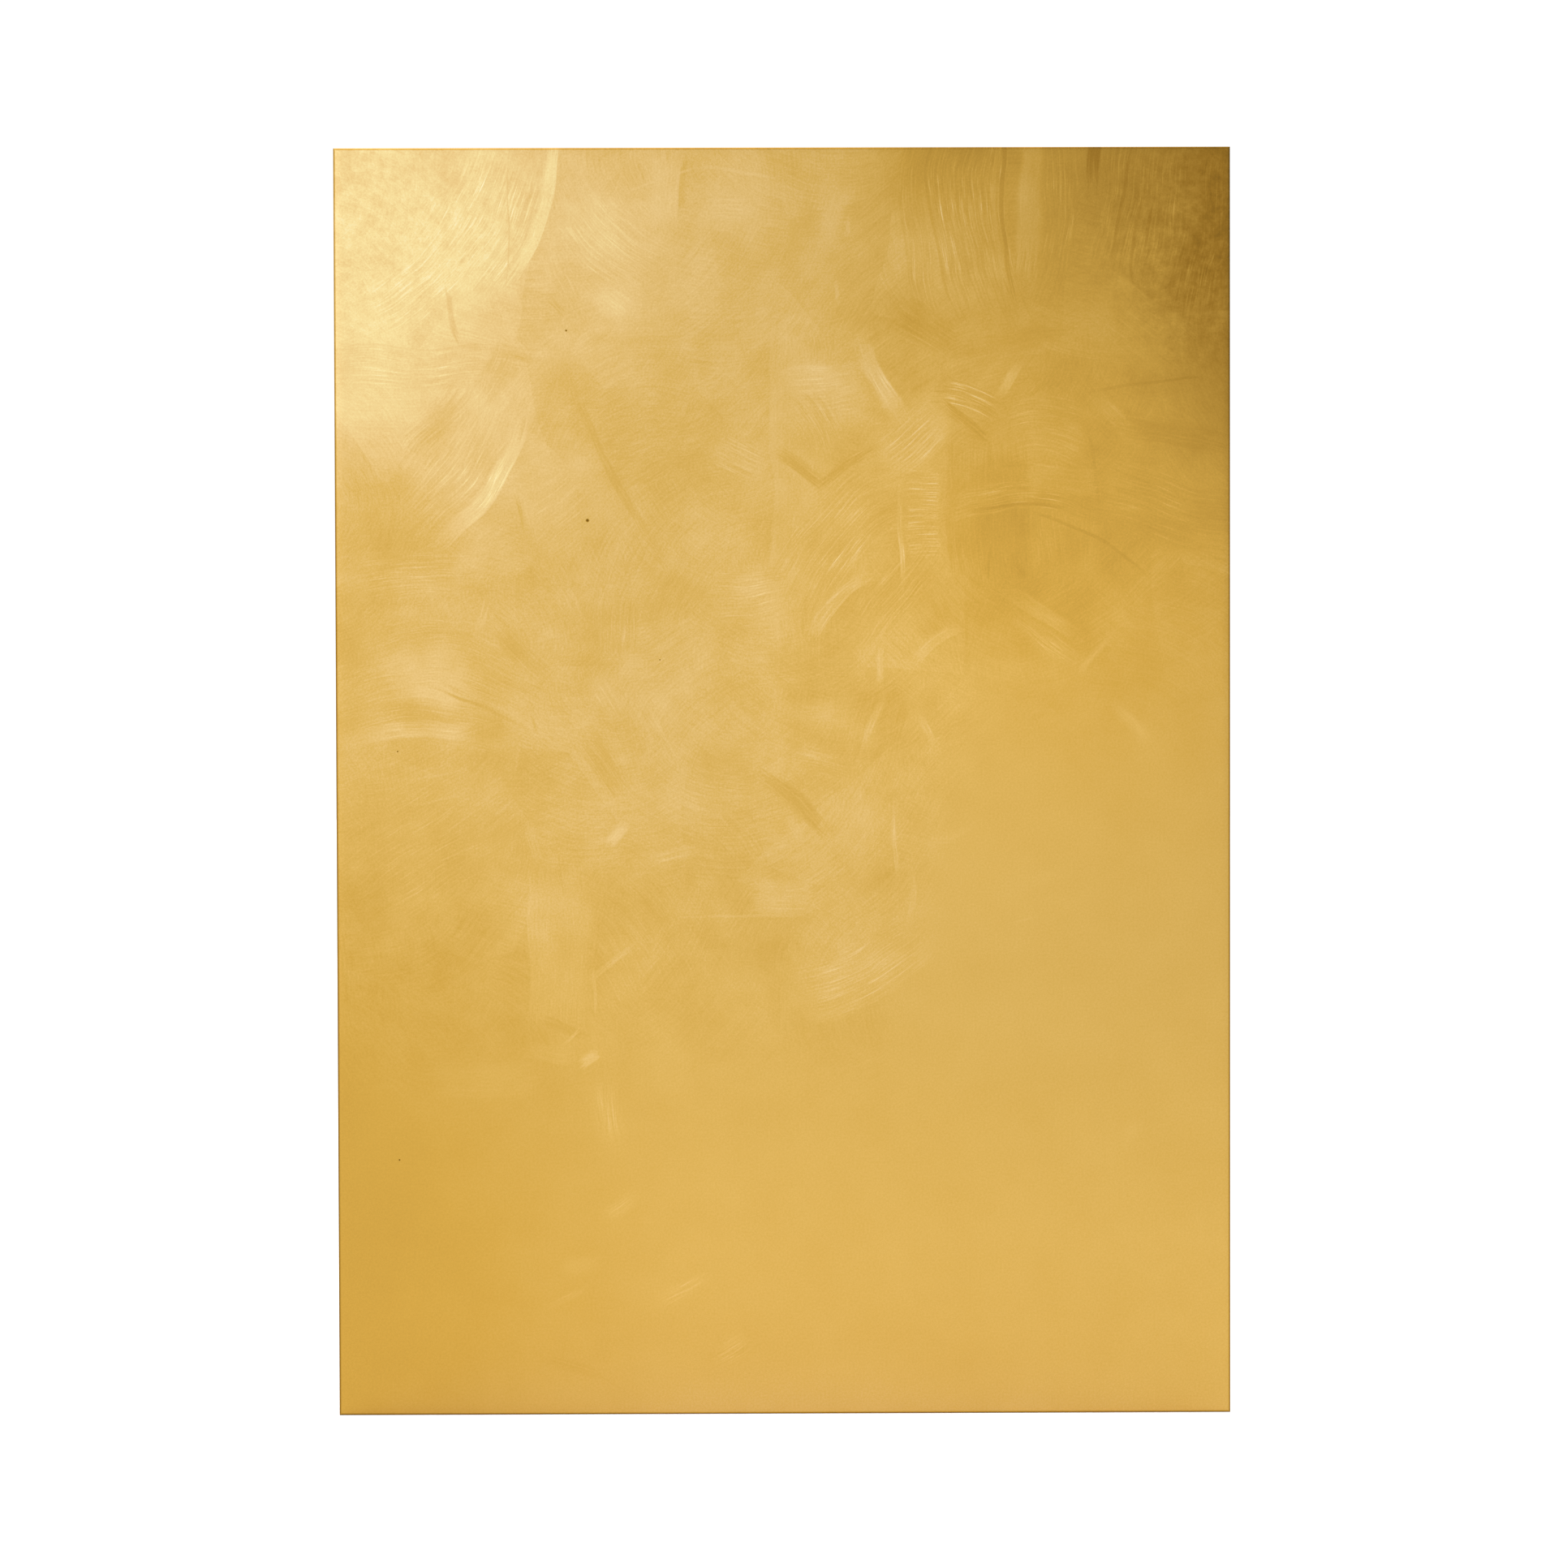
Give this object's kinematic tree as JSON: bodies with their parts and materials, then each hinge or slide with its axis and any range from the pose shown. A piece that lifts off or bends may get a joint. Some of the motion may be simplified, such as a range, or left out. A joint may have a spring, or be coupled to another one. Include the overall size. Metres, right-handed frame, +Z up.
{
  "type": "kick plate",
  "caption": "Flat square-cornered sheet of hand-burnished brass with no screw holes, held to a door by foam tape strips on its back, each under a peel-off liner.",
  "frame": {"origin": "centre of the plane that lies against the door, which is the outer face of the release liners", "axes": "+Z up along the plate's long side, +Y into the door, -Y the polished front, +X to the right seen from the front"},
  "size_m": [0.61, 0.0027, 0.864],
  "materials": {
    "brass": "hand-burnished, satin, lightly aged",
    "foam_tape": "matt closed-cell acrylic foam",
    "release_liner": "thin satin polyethylene film"
  },
  "bodies": {
    "plate": {"brass_plate": "brass", "tape_top": "foam_tape", "tape_bottom": "foam_tape", "tape_left": "foam_tape", "tape_mid_left": "foam_tape", "tape_centre": "foam_tape", "tape_mid_right": "foam_tape", "tape_right": "foam_tape"},
    "liner_top": {"liner_top": "release_liner"},
    "liner_bottom": {"liner_bottom": "release_liner"},
    "liner_left": {"liner_left": "release_liner"},
    "liner_mid_left": {"liner_mid_left": "release_liner"},
    "liner_centre": {"liner_centre": "release_liner"},
    "liner_mid_right": {"liner_mid_right": "release_liner"},
    "liner_right": {"liner_right": "release_liner"}
  },
  "joints": [
    {"name": "peel_top", "type": "slide", "parent": "plate", "child": "liner_top", "axis": [0, 1, 0], "range_m": [0, 0.06]},
    {"name": "peel_bottom", "type": "slide", "parent": "plate", "child": "liner_bottom", "axis": [0, 1, 0], "range_m": [0, 0.06]},
    {"name": "peel_left", "type": "slide", "parent": "plate", "child": "liner_left", "axis": [0, 1, 0], "range_m": [0, 0.06]},
    {"name": "peel_mid_left", "type": "slide", "parent": "plate", "child": "liner_mid_left", "axis": [0, 1, 0], "range_m": [0, 0.06]},
    {"name": "peel_centre", "type": "slide", "parent": "plate", "child": "liner_centre", "axis": [0, 1, 0], "range_m": [0, 0.06]},
    {"name": "peel_mid_right", "type": "slide", "parent": "plate", "child": "liner_mid_right", "axis": [0, 1, 0], "range_m": [0, 0.06]},
    {"name": "peel_right", "type": "slide", "parent": "plate", "child": "liner_right", "axis": [0, 1, 0], "range_m": [0, 0.06]}
  ]
}
